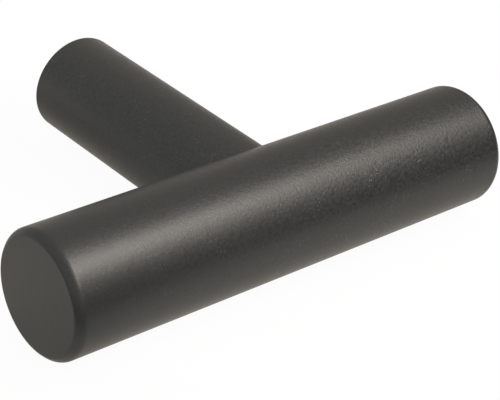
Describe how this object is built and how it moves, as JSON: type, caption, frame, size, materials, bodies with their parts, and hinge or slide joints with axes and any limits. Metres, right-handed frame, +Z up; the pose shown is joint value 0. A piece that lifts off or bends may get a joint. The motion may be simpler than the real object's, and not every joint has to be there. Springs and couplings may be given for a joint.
{
  "type": "t handle knob",
  "caption": "T handle knob: a round chamfered bar on a round post with a tapped foot, with a dark matt coat, pulled by hand to open a door or drawer.",
  "frame": {"origin": "centre of the foot's flat face, where the post meets the door or drawer front", "axes": "+X along the bar, +Y out of the foot into the door or drawer front, +Z up"},
  "size_m": [0.051, 0.036, 0.012],
  "materials": {
    "dark_coat": "fine matt powder coat, warm anthracite",
    "zinc_plated_steel": "bright zinc plate"
  },
  "bodies": {
    "root": {"bar": "dark_coat", "post": "dark_coat", "joining_stud": "zinc_plated_steel"}
  },
  "joints": []
}
